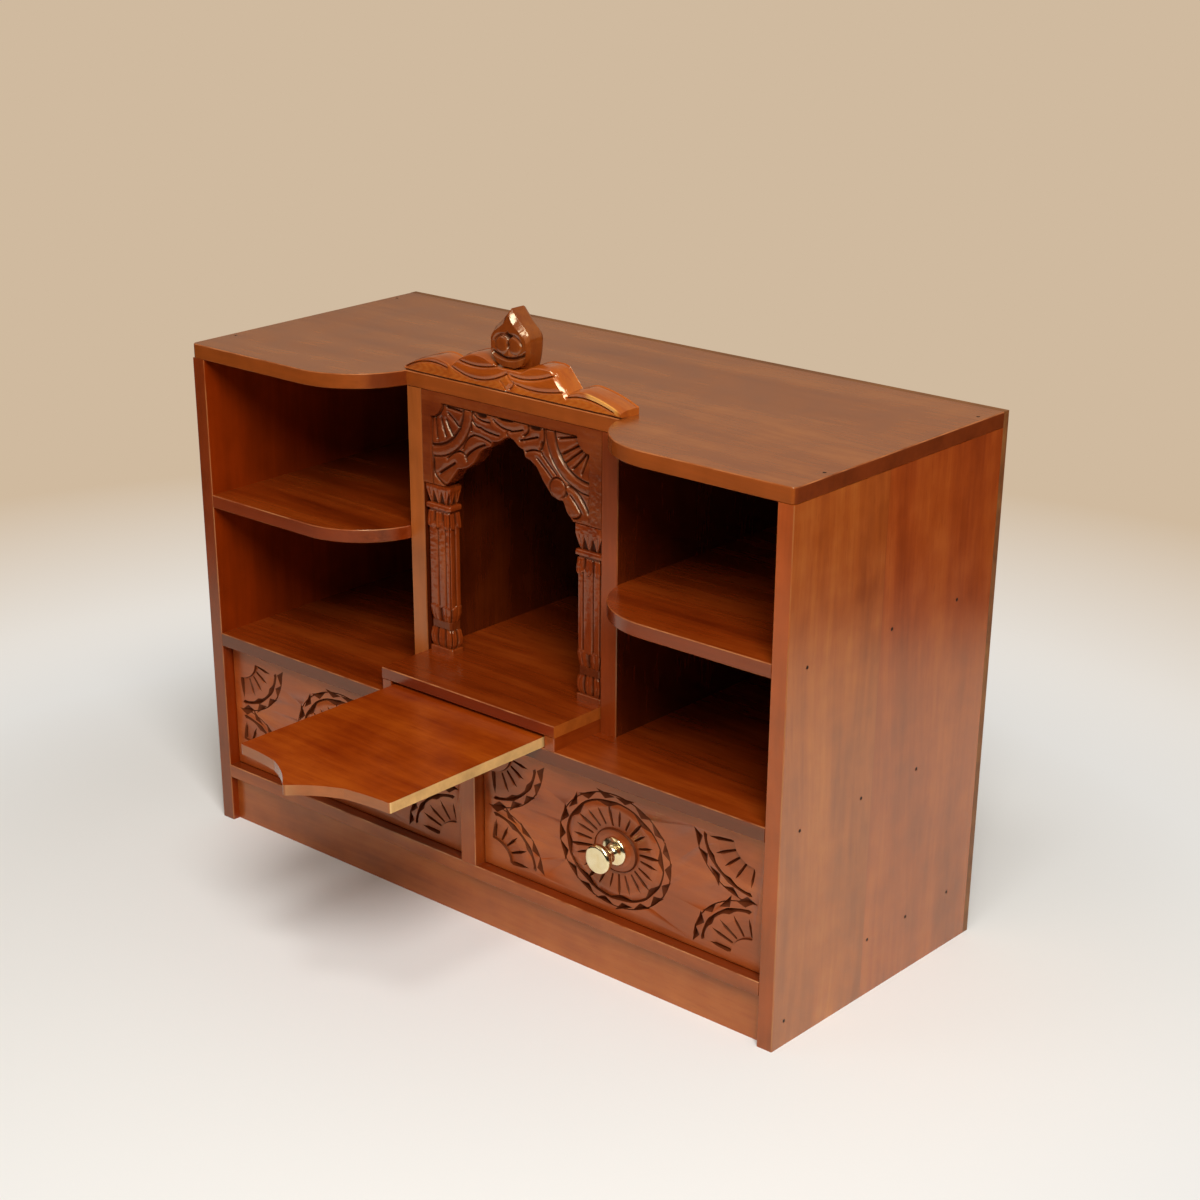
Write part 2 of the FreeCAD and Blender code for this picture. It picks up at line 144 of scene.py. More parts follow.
def close_seams(piece):
    """Merges doubled points, fills open ends and points the faces outwards."""
    only(piece)
    bpy.ops.object.mode_set(mode="EDIT")
    bpy.ops.mesh.select_all(action="SELECT")
    bpy.ops.mesh.remove_doubles(threshold=2e-6)
    bpy.ops.mesh.fill_holes(sides=0)
    bpy.ops.mesh.normals_make_consistent(inside=False)
    bpy.ops.object.mode_set(mode="OBJECT")


def shaped(name, across, along, place):
    """A grid whose points at shares u and v go to place(u, v): x, y, z in mm and how deep the cut is."""
    bpy.ops.object.select_all(action="DESELECT")
    bpy.ops.mesh.primitive_grid_add(x_subdivisions=across, y_subdivisions=along, size=1)
    piece = bpy.context.active_object
    piece.name = name
    mesh = piece.data
    flat = np.empty(len(mesh.vertices) * 3)
    mesh.vertices.foreach_get("co", flat)
    x, y, z, cut = np.broadcast_arrays(*place(flat[0::3] + 0.5, flat[1::3] + 0.5))
    mesh.vertices.foreach_set("co", np.stack((x, y, z), axis=1).ravel() * MM)
    mesh.attributes.new("cut", "FLOAT", "POINT").data.foreach_set("value", cut.astype(np.float32))
    close_seams(piece)
    bpy.ops.object.shade_smooth_by_angle(angle=math.radians(50))
    return piece


def stands_for(piece, node, body, material):
    """Puts a finished piece in the place of a node, on that node's body."""
    piece.data.materials.clear()
    piece.data.materials.append(material)
    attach(piece, body)
    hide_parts(node)


# Materials

def varnished_wood(name, dark, middle, light, along, seat, gloss=0.245, edge=None, edge_from="max",
                   joint=None, cut_tone=None, rubbed=None, faces=(), shine=0.5, outer=None,
                   figure=(0.30, 0.45, 0.25), tool=0.0):
    """Hardwood, planed, stained red-brown and varnished: blotchy stain and faint grain under a clear sheen.

    along is the way of the grain, and seat shifts the figure so that no two boards match. edge is the paler
    tone of the corners, partly stain worn off by handling and partly a painted highlight along the edges:
    all of them, or only those of level faces where edge_from says level. joint is where a glued-up board
    changes, cut_tone darkens the carving, partly as stain gathered in the cuts and partly as painted shade
    of the hollows, rubbed is the golden tone of carving where the stain was wiped thin, also used for a
    painted highlight, and faces gives the tone of faces that look a given way: sawn ones, shaded faces
    with painted shade and lit faces with painted light. shine is the varnish's reflection, and outer gives
    the way that the thickest coat faces and its shine. figure is how much blotches, bands and fibres each
    count, and tool is how strongly the carving tool's marks of 4 mm break up the sheen.
    """
    material = bpy.data.materials.new(name)
    tree = bare_tree(material)
    place = add(tree, "TexCoord").outputs["Object"]
    depth = add(tree, "SeparateXYZ", {0: place}).outputs["Y"]
    second = None
    if joint is not None:
        second = add(tree, "Math", {0: depth, 1: joint}, operation="GREATER_THAN")
        shift = add(tree, "VectorMath", {0: (0.13, 0.31, 0.47), 1: second}, operation="MULTIPLY")
        place = add(tree, "VectorMath", {0: place, 1: shift}, operation="ADD")
    quarter = math.radians(90)
    turn = {"x": (0, 0, 0), "y": (0, 0, quarter), "z": (0, quarter, 0)}[along]
    board = add(tree, "Mapping", {"Vector": place, "Location": seat, "Rotation": turn})

    # Slow wander of the grain, about 10 mm to the side over a third of a metre
    slow = add(tree, "Mapping", {"Vector": board, "Scale": (3.0, 9, 9)})
    wander = add(tree, "TexNoise", {"Vector": slow, "Scale": 1.0, "Detail": 1.0, "Roughness": 0.4})
    sway = add(tree, "VectorMath", {0: wander.outputs["Color"], 1: (0.0, 0.04, 0.04)}, operation="MULTIPLY")
    grown = add(tree, "VectorMath", {0: board, 1: sway}, operation="ADD")

    # Counts in a metre along and across the grain: blotches of stain 30 mm wide, bands of 300 by 25 mm,
    # fibres of 70 by 4 mm. Real pores are 0.4 mm wide and too fine to show, so they are drawn at 12 by 1.2 mm
    blotches, bands, fibres, pores = 33.0, (3.2, 40, 40), (14, 230, 230), (80, 830, 830)
    blotch = add(tree, "TexNoise", {"Vector": board, "Scale": blotches, "Detail": 3.0, "Roughness": 0.5})
    grain = []
    for counts, detail, mixed in ((bands, 2.0, 0.5), (fibres, 4.0, 0.62), (pores, 1.0, 0.5)):
        drawn = add(tree, "Mapping", {"Vector": grown, "Scale": counts})
        noise = {"Vector": drawn, "Scale": 1.0, "Detail": detail, "Roughness": mixed}
        grain.append(add(tree, "TexNoise", noise))
    band, fibre, pore = grain

    tone = 0.0
    for noise, share in zip((blotch, band, fibre), figure):
        tone = add(tree, "Math", {0: noise, 1: share, 2: tone}, operation="MULTIPLY_ADD")
    darkest, palest = 0.34, 0.66
    colour = add(tree, "ValToRGB", {"Fac": tone},
                 stops=((darkest, linear(dark)), (palest, linear(light)), (0.50, linear(middle))))
    speck = add(tree, "MapRange", {0: pore, 1: 0.60, 2: 0.74, 3: 0.0, 4: 0.28})
    colour = add(tree, "MixRGB", {"Fac": speck, "Color1": colour, "Color2": linear(dark)})
    if second is not None:
        redder = add(tree, "MixRGB", {"Fac": second, "Color1": (1, 1, 1, 1), "Color2": linear("#f4d8c6")})
        colour = add(tree, "MixRGB", {"Fac": 1.0, "Color1": colour, "Color2": redder}, blend_type="MULTIPLY")
        glue_half = 0.0005
        line = add(tree, "Math", {0: depth, 1: joint, 2: glue_half}, operation="COMPARE")
        line = add(tree, "Math", {0: line, 1: 0.45}, operation="MULTIPLY")
        colour = add(tree, "MixRGB", {"Fac": line, "Color1": colour, "Color2": linear(dark)})

    # Faces that look one way, between these two cosines, and the veins that run on through them
    half_turned, turned = 0.60, 0.80
    normal = add(tree, "NewGeometry").outputs["Normal"]
    vein = add(tree, "MapRange", {0: tone, 1: darkest, 2: palest, 3: 0.72, 4: 1.28})
    for direction, tone_hex in faces:
        toward = add(tree, "VectorMath", {0: normal, 1: direction}, operation="DOT_PRODUCT").outputs["Value"]
        mask = add(tree, "MapRange", {0: toward, 1: half_turned, 2: turned})
        veined = add(tree, "VectorMath", {0: linear(tone_hex)[:3], "Scale": vein}, operation="SCALE")
        colour = add(tree, "MixRGB", {"Fac": mask, "Color1": colour, "Color2": veined})
    # The corners' paler edge tone is partly stain worn off by handling and partly a painted highlight along
    # the edges
    if edge is not None:
        bare = 0.75
        facing = add(tree, "VectorMath", {0: normal}, operation="ABSOLUTE")
        facing = add(tree, "SeparateXYZ", {0: facing}).outputs
        if edge_from == "max":
            wide = add(tree, "Math", {0: facing["X"], 1: facing["Y"]}, operation="MAXIMUM")
            wide = add(tree, "Math", {0: wide, 1: facing["Z"]}, operation="MAXIMUM")
            worn = add(tree, "MapRange", {0: wide, 1: 0.93, 2: 0.80, 3: 0.0, 4: bare})
        else:
            low = add(tree, "MapRange", {0: facing["Z"], 1: 0.25, 2: 0.45})
            worn = add(tree, "MapRange", {0: facing["Z"], 1: 0.95, 2: 0.85, 3: 0.0, 4: bare})
            worn = add(tree, "Math", {0: low, 1: worn}, operation="MULTIPLY")
        rub = add(tree, "TexNoise", {"Vector": board, "Scale": 45.0, "Detail": 3.0})
        patchy = add(tree, "MapRange", {0: rub, 1: 0.35, 2: 0.60})
        worn = add(tree, "Math", {0: worn, 1: patchy}, operation="MULTIPLY")
        colour = add(tree, "MixRGB", {"Fac": worn, "Color1": colour, "Color2": linear(edge)})

    # The sheen varies a little with the blotches; a wider range breaks it into hard patches
    uneven = 0.023
    rough = add(tree, "MapRange", {0: blotch, 1: 0.3, 2: 0.7, 3: gloss - uneven, 4: gloss + uneven})
    # The carving's cuts are darkened towards cut_tone: partly stain gathered in them, partly painted shade of
    # the hollows
    if cut_tone is not None:
        cut = add(tree, "Attribute", attribute_name="cut").outputs["Fac"]
        # Carving where the stain was wiped thin takes the golden rubbed tone, and so does a painted highlight
        # on the crest
        if rubbed is not None:
            thin = add(tree, "MapRange", {0: cut, 1: 0.0, 2: -1.0, 3: 0.0, 4: 0.9})
            veined = add(tree, "VectorMath", {0: linear(rubbed)[:3], "Scale": vein}, operation="SCALE")
            colour = add(tree, "MixRGB", {"Fac": thin, "Color1": colour, "Color2": veined})
        deep = add(tree, "MapRange", {0: cut, 1: 0.05, 2: 1.0, 3: 0.0, 4: 0.82})
        colour = add(tree, "MixRGB", {"Fac": deep, "Color1": colour, "Color2": linear(cut_tone)})
        rough = add(tree, "Math", {0: deep, 1: 0.3, 2: rough}, operation="MULTIPLY_ADD")
        shine = add(tree, "MapRange", {0: deep, 1: 0.0, 2: 0.8, 3: shine, 4: shine * 0.25})
    relief = add(tree, "Bump", {"Height": fibre, "Strength": 0.04, "Distance": 0.0005})
    if tool:
        marks = add(tree, "TexNoise", {"Vector": board, "Scale": 250.0, "Detail": 1.0})
        relief = add(tree, "Bump", {"Height": marks, "Strength": tool, "Distance": 0.001, "Normal": relief})
    if outer is not None:
        toward = add(tree, "VectorMath", {0: normal, 1: outer[0]}, operation="DOT_PRODUCT").outputs["Value"]
        shine = add(tree, "MapRange", {0: toward, 1: half_turned, 2: turned, 3: shine, 4: outer[1]})
    shader = add(tree, "BsdfPrincipled", {
        "Base Color": colour, "Roughness": rough, "IOR": 1.70, "Specular IOR Level": shine,
        "Specular Tint": linear("#fff0c8"), "Normal": relief})
    add(tree, "OutputMaterial", {"Surface": shader})
    return material


def polished_brass():
    """Cast brass, turned and polished: pale gold with soft mirror bands and faint turning marks."""
    material = bpy.data.materials.new("brass, turned and polished")
    tree = bare_tree(material)
    place = add(tree, "TexCoord").outputs["Object"]
    # Clouds of 6 mm, and scratches drawn 1 mm wide because real ones are too fine to show
    cloud = add(tree, "TexNoise", {"Vector": place, "Scale": 160.0, "Detail": 3.0})
    colour = add(tree, "ValToRGB", {"Fac": cloud}, stops=((0.3, linear("#ecd9a6")), (0.7, linear("#f8ebc2"))))
    rough = add(tree, "MapRange", {0: cloud, 1: 0.3, 2: 0.7, 3: 0.12, 4: 0.20})
    scratch = add(tree, "TexNoise", {"Vector": place, "Scale": 900.0, "Detail": 2.0})
    relief = add(tree, "Bump", {"Height": scratch, "Strength": 0.03, "Distance": 0.0002})
    shader = add(tree, "BsdfPrincipled", {
        "Base Color": colour, "Metallic": 1.0, "Roughness": rough, "Normal": relief})
    add(tree, "OutputMaterial", {"Surface": shader})
    return material


def plain_metal(name, dark, light, gloss):
    """Drawn steel, cut to length and left bare: grey with darker rust-brown spots of 1.4 mm."""
    material = bpy.data.materials.new(name)
    tree = bare_tree(material)
    place = add(tree, "TexCoord").outputs["Object"]
    spots = add(tree, "TexNoise", {"Vector": place, "Scale": 700.0, "Detail": 3.0})
    colour = add(tree, "ValToRGB", {"Fac": spots}, stops=((0.4, linear(dark)), (0.65, linear(light))))
    rough = add(tree, "MapRange", {0: spots, 1: 0.3, 2: 0.7, 3: gloss, 4: gloss + 0.2})
    shader = add(tree, "BsdfPrincipled", {"Base Color": colour, "Metallic": 1.0, "Roughness": rough})
    add(tree, "OutputMaterial", {"Surface": shader})
    return material


def paint(material, *names):
    """Gives a material to CAD nodes."""
    for name in names:
        nodes[name].data.materials.clear()
        nodes[name].data.materials.append(material)


side_tones = ("#84360b", "#9d4914", "#b15e20")
front_tones = ("#7a300c", "#933f12", "#a6511c")
# The boards inside the bays are darker than the outside: partly a deeper stain, partly painted shade of the
# bays. The niche walls' near-black tones and the side boards' darker inner faces are painted shade.
inner_stain_and_shade_tones = ("#5f1c02", "#7a2b05", "#913c0d")
niche_painted_shade_tones = ("#380e02", "#4b1703", "#5d2204")
pale_tones = ("#a67a4a", "#c39a66", "#d6b382")
inner_wall_painted_shade, worn_and_highlit_edge, shelf_worn_and_highlit_edge = "#7a2602", "#b5703f", "#a9683a"
left, right, front, up = (-1, 0, 0), (1, 0, 0), (0, -1, 0), (0, 0, 1)
# Figure of the streaky boards, where the side boards meet, and the roughness of bare planed wood
streaky = (0.10, 0.56, 0.34)
glue_line = 0.090
planed = 0.55
# On the left, the side board's darker front is painted shade and the niche wall's golden front is painted
# light
for hand, inwards, outwards, shift, stile, post in (("left", right, left, 0.0, "#742a08", "#a0521e"),
                                                    ("right", left, right, 0.37, "#933f12", "#82320d")):
    paint(varnished_wood(
        f"side board, glued up and varnished, {hand}", *side_tones, "z", (shift, 0.11, 0.05),
        gloss=0.24, edge="#985a2c", joint=glue_line, outer=(outwards, 1.1),
        faces=((inwards, inner_wall_painted_shade), (front, stile))), f"{hand}_side_panel")
    paint(varnished_wood(
        f"niche wall board, varnished, {hand}", *niche_painted_shade_tones, "z", (0.2 + shift, 0.3, 0.1),
        edge="#8a4a20", faces=((front, post),)), f"{hand}_niche_wall")
    paint(varnished_wood(
        f"shelf board, rounded and varnished, {hand}", *inner_stain_and_shade_tones, "x", (0.5 + shift, 0.2, 0.4),
        edge=shelf_worn_and_highlit_edge, edge_from="level", faces=((front, "#6f2606"),), figure=streaky), f"{hand}_shelf")
    paint(varnished_wood(
        f"runner strip, varnished, {hand}", *inner_stain_and_shade_tones, "y", (0.1 + shift, 0.4, 0.2)),
        f"{hand}_tray_runner")
    paint(varnished_wood(
        f"drawer walls, planed pale wood, {hand}", *pale_tones, "y", (0.2, 0.6, 0.4),
        gloss=planed), f"{hand}_drawer_left_wall", f"{hand}_drawer_right_wall")
    paint(varnished_wood(
        f"drawer back, planed pale wood, {hand}", *pale_tones, "x", (0.5, 0.1, 0.4),
        gloss=planed), f"{hand}_drawer_back")
    paint(varnished_wood(
        f"drawer bottom, plywood, {hand}", "#b08650", "#caa36c", "#dab985", "x", (0.9, 0.3, 0.2),
        gloss=planed), f"{hand}_drawer_bottom")
paint(varnished_wood(
    "top board, rounded and varnished", "#74310b", "#874113", "#9a5320", "x", (0.05, 0.62, 0.21),
    edge="#b0683a", edge_from="level", shine=0.43,
    faces=((left, "#6a2a0b"), (right, "#6a2a0b"), (front, "#883f11"))), "top_panel")
paint(varnished_wood(
    "counter board, varnished", *inner_stain_and_shade_tones, "x", (0.8, 0.1, 0.3), edge=shelf_worn_and_highlit_edge,
    faces=((front, "#561803"),), figure=streaky), "counter_board")
# The platform's paler end faces are painted light
paint(varnished_wood(
    "platform board, varnished", *inner_stain_and_shade_tones, "x", (0.3, 0.7, 0.5), edge=worn_and_highlit_edge,
    faces=((front, "#6e1f02"), (left, "#964a16"), (right, "#964a16")), figure=streaky), "niche_platform")
# The rail's darker top, the face that looks up, is painted shade under the drawer fronts
paint(varnished_wood(
    "rail board, varnished", "#722d0a", "#8a3c10", "#a0501c", "x", (0.9, 0.5, 0.7),
    edge="#b97a4a", faces=((up, "#6e2707"),)), "bottom_board")
paint(varnished_wood(
    "plinth board, varnished", "#7d350f", "#984818", "#aa5a24", "x", (0.4, 0.9, 0.1),
    edge=worn_and_highlit_edge), "plinth_board")
paint(varnished_wood(
    "divider board, varnished", *front_tones, "z", (0.6, 0.2, 0.8), edge=worn_and_highlit_edge), "drawer_divider")
paint(varnished_wood(
    "tray board, stained deep red and varnished", "#742103", "#933807", "#a94a0d", "x", (0.15, 0.35, 0.6),
    faces=((left, "#c99e64"), (right, "#c99e64"), (front, "#8a4a25"))), "tray")
paint(varnished_wood(
    "back panel, plywood, stained", "#5a2c10", "#744019", "#8a5424", "x", (0.7, 0.3, 0.9),
    gloss=0.5), "back_panel")
brass = polished_brass()
paint(plain_metal("wire nail, punched under and stained", "#2a160c", "#4a3020", 0.45),
      "side_nails", "top_nails")
paint(plain_metal("panel pin, drawn steel", "#4a443e", "#8a857d", 0.35), "back_pins")
paint(plain_metal("wood screw, drawn steel", "#5a5650", "#a09c94", 0.30),
      "left_knob_screw", "right_knob_screw")


# Chip carving of the drawer fronts

front_low = box_mm("right_drawer_front")[0]
face = front_low.y
drawer_step = front_low.x - box_mm("left_drawer_front")[0].x
# Half axes of the flowers, the rosette's middle, and how far a cutter stands out over the face
oval = (52.0, 43.5)
rosette_middle = (136.5, 101.0)
lip = 0.4


def polar(middle, share, angle):
    """The point at a share of the oval's size and an angle in degrees from a carving's middle."""
    turned = math.radians(angle)
    return (middle[0] + oval[0] * share * math.cos(turned), middle[1] + oval[1] * share * math.sin(turned))


def vee_cut(path, depths, slopes):
    """A V tool's stroke along a path on the drawer's face: depths below it, and each wall's lean."""
    path = np.array(path)
    depths = np.broadcast_to(depths, len(path))
    closed = np.allclose(path[0], path[-1])
    runs = np.gradient(path, axis=0)
    if closed:
        runs[0] = runs[-1] = path[1] - path[-2]
    runs /= np.linalg.norm(runs, axis=1)[:, None]
    normals = np.stack((-runs[:, 1], runs[:, 0]), axis=1)
    wide = (depths + lip)[:, None]
    corners = (path - normals * slopes[0] * wide, path, path + normals * slopes[1] * wide)
    heights = (np.full(len(path), -lip), depths, np.full(len(path), -lip))

    def place(u, v):
        station = np.rint(u * (len(path) - 1)).astype(int)
        corner = np.rint(v * 3).astype(int) % 3
        x = np.choose(corner, [c[station, 0] for c in corners])
        z = np.choose(corner, [c[station, 1] for c in corners])
        return x, face + np.choose(corner, [h[station] for h in heights]), z, np.zeros_like(x)

    return shaped("stroke", len(path) - 1, 3, place)


def edge_chips(middle, angles, half):
    """Three-cornered chips along the rim, base to base, steep on the rim and pointing inwards."""
    depth = 3.8
    made = []
    for angle in angles:
        turn = angle + chisel.uniform(-0.6, 0.6)
        inner = polar(middle, 0.895 + chisel.uniform(-0.012, 0.012), turn + chisel.uniform(-2.0, 2.0))
        outer = polar(middle, 1.0, turn)
        base = math.dist(polar(middle, 1.0, turn - half), polar(middle, 1.0, turn + half)) / 2
        made.append(vee_cut((inner, outer), (0.0, depth), (base / depth, base / depth)))
    return made


def ray(middle, angle, start, end, depth):
    """A boat-shaped stroke that is deepest near the boss and runs out to a point."""
    angle += chisel.uniform(-1.5, 1.5)
    end *= 1 + chisel.uniform(-0.05, 0.05)
    shares = (start - 0.015, start + 0.03, start + 0.6 * (end - start), end)
    path = [polar(middle, share, angle) for share in shares]
    slope = 0.44
    return vee_cut(path, (-lip, depth, depth * 0.85, -lip), (slope, slope))


def groove(middle, share, angles, depths, slopes):
    """A stroke round the middle, with the walls' slopes given for the inner and the outer side."""
    path = [polar(middle, s, a) for s, a in np.broadcast(share, angles)]
    return vee_cut(path, depths, (slopes[1], slopes[0]))


def cusped(angles, first, step):
    """1 at the boundaries between petals that follow each other by step, and 0 along the petals."""
    lobes = np.abs(((angles - first) / step + 0.5) % 1 - 0.5) * 2
    return np.clip(1 - lobes * 1.8, 0, 1)


def rosette(middle):
    """A flower of eight petals in a notched rim, round the plain boss that carries the knob."""
    first, petals, chips, beside = 99.0, 8, 18, 14.5
    step = 360 / petals
    round_all = np.linspace(0, 360, 97)
    cusps = cusped(round_all, first, step)
    made = edge_chips(middle, [i * 360 / chips for i in range(chips)], 180 / chips)
    made.append(groove(middle, 1.0, round_all, 1.0, (0.55, 0.35)))
    made.append(groove(middle, 0.872 - 0.03 * cusps, round_all, 1.9 + 2.2 * cusps, (0.95, 0.30)))
    made.append(groove(middle, 0.86, round_all, 0.7, (7.0, 0.3)))
    made.append(groove(middle, 0.385, round_all, 2.0, (0.45, 7.5)))
    made.append(groove(middle, 0.365, round_all, 1.0, (3.6, 0.2)))
    for i in range(petals):
        boundary = first + i * step
        made.append(ray(middle, boundary, 0.40, 0.84, 3.9))
        made.append(ray(middle, boundary - beside, 0.42, 0.76, 3.4))
        made.append(ray(middle, boundary + beside, 0.42, 0.76, 3.4))
    return made


def corner_fan(corner, quarter):
    """A quarter of a flower in a corner of the drawer front."""
    swing = np.linspace(quarter + 2, quarter + 88, 25)
    ends = (swing < quarter + 4) | (swing > quarter + 86)
    petal, chip_half = 30, 9.3
    cusps = cusped(swing, quarter, petal)
    made = [groove(corner, 0.86, swing, np.where(ends, -lip, 1.9 + 2.0 * cusps), (0.95, 0.35)),
            groove(corner, 1.0, swing, np.where(ends, -lip, 1.0), (0.55, 0.35)),
            groove(corner, 0.375, swing, np.where(ends, 0.2, 1.8), (0.35, 7.5))]
    made += edge_chips(corner, [quarter + a for a in (10, 29, 48, 67, 84)], chip_half)
    for angle in (5, 27, 46, 64, 84):
        made.append(ray(corner, quarter + angle, 0.38, 0.76, 3.6))
    return made


def joined(pieces, name):
    """Several pieces as one."""
    bpy.ops.object.select_all(action="DESELECT")
    for piece in pieces:
        piece.select_set(True)
    bpy.context.view_layer.objects.active = pieces[0]
    bpy.ops.object.join()
    pieces[0].name = name
    return pieces[0]


def carved_front():
    """The right drawer front, copied from its board and cut with the rosette and four corner fans."""
    board = bpy.data.objects.new("right_drawer_front_carved", nodes["right_drawer_front"].data.copy())
    bpy.context.scene.collection.objects.link(board)
    only(board)
    bpy.ops.object.mode_set(mode="EDIT")
    bpy.ops.mesh.select_all(action="SELECT")
    bpy.ops.mesh.remove_doubles(threshold=1e-6)
    bpy.ops.object.mode_set(mode="OBJECT")
    strokes = rosette(rosette_middle)
    west, east, low, high = 15.9, 261.6, 57.4, 143.6
    for corner, quarter in (((west, high), 270), ((east, high), 180), ((east, low), 90), ((west, low), 0)):
        strokes += corner_fan(corner, quarter)
    cutter = joined(strokes, "strokes")
    cut = board.modifiers.new("carving", "BOOLEAN")
    cut.operation = "DIFFERENCE"
    cut.solver = "EXACT"
    cut.use_self = True
    cut.object = cutter
    only(board)
    bpy.ops.object.modifier_apply(modifier=cut.name)
    bpy.data.objects.remove(cutter)
    # The tone is darkest on steep walls and deep down, within the field that holds the carving: partly stain
    # gathered in the cuts, partly painted shade of the hollows
    field_x, field_z, deepest = (12, 270), (54, 149), 4.5
    by_slope, by_depth = 5.0, 0.15
    mesh = board.data
    values = []
    for side in mesh.polygons:
        x, y, z = side.center / MM
        inside = field_x[0] < x < field_x[1] and field_z[0] < z < field_z[1] and y - face < deepest
        dark = (1 + side.normal.y) * by_slope + (y - face) * by_depth
        values.append(min(dark, 1.0) if inside else 0.0)
    old = mesh.attributes.get("cut")
    if old is not None:
        mesh.attributes.remove(old)
    mesh.attributes.new("cut", "FLOAT", "FACE").data.foreach_set("value", values)
    bpy.ops.object.shade_smooth_by_angle(angle=math.radians(20))
    return board


front_right = carved_front()
front_left = front_right.copy()
front_left.data = front_right.data.copy()
front_left.name = "left_drawer_front_carved"
bpy.context.scene.collection.objects.link(front_left)
front_left.data.transform(Matrix.Translation((-drawer_step * MM, 0, 0)))
for hand, piece, seat in (("left", front_left, (0.55, 0.15, 0.85)),
                          ("right", front_right, (0.25, 0.75, 0.35))):
    wood = varnished_wood(f"drawer front, chip carved and varnished, {hand}", *front_tones, "x", seat,
                          gloss=0.305, cut_tone="#3b1406")
    stands_for(piece, f"{hand}_drawer_front", f"{hand}_drawer", wood)


# Knobs

def knob(name, node):
    """A brass knob turned in one piece: domed flange, waisted neck and a flat head with a round rim."""
    low, high = box_mm(node)
    middle_x, middle_z = (low.x + high.x) / 2, (low.z + high.z) / 2
    length = high.y - low.y
    # Radius in mm against share of the length, from the wood outwards
    outline = ((0.0, 0.0), (10.9, 0.0), (11.2, 0.03), (11.15, 0.06), (10.4, 0.105), (8.6, 0.15), (6.6, 0.19),
               (5.2, 0.25), (4.6, 0.33), (4.5, 0.42), (4.7, 0.51), (5.6, 0.59), (7.6, 0.65), (9.7, 0.69),
               (11.0, 0.75), (11.4, 0.83), (11.2, 0.91), (10.5, 0.965), (9.6, 0.993), (8.8, 1.0), (0.0, 1.0))
    shares = np.linspace(0, 1, len(outline))

    def place(u, v):
        radius = np.interp(u, shares, [r for r, s in outline])
        out = np.interp(u, shares, [s for r, s in outline])
        angle = 2 * math.pi * v
        return (middle_x + radius * np.cos(angle), high.y - length * out, middle_z + radius * np.sin(angle),
                np.zeros_like(u))

    made = shaped(name, len(outline) - 1, 48, place)
    only(made)
    smooth = made.modifiers.new("smooth", "SUBSURF")
    smooth.levels = smooth.render_levels = 1
    bpy.ops.object.modifier_apply(modifier=smooth.name)
    bpy.ops.object.shade_smooth_by_angle(angle=math.radians(60))
    return made


for hand in ("left", "right"):
    stands_for(knob(f"{hand}_knob_turned", f"{hand}_knob"), f"{hand}_knob", f"{hand}_drawer", brass)


# Arch panel

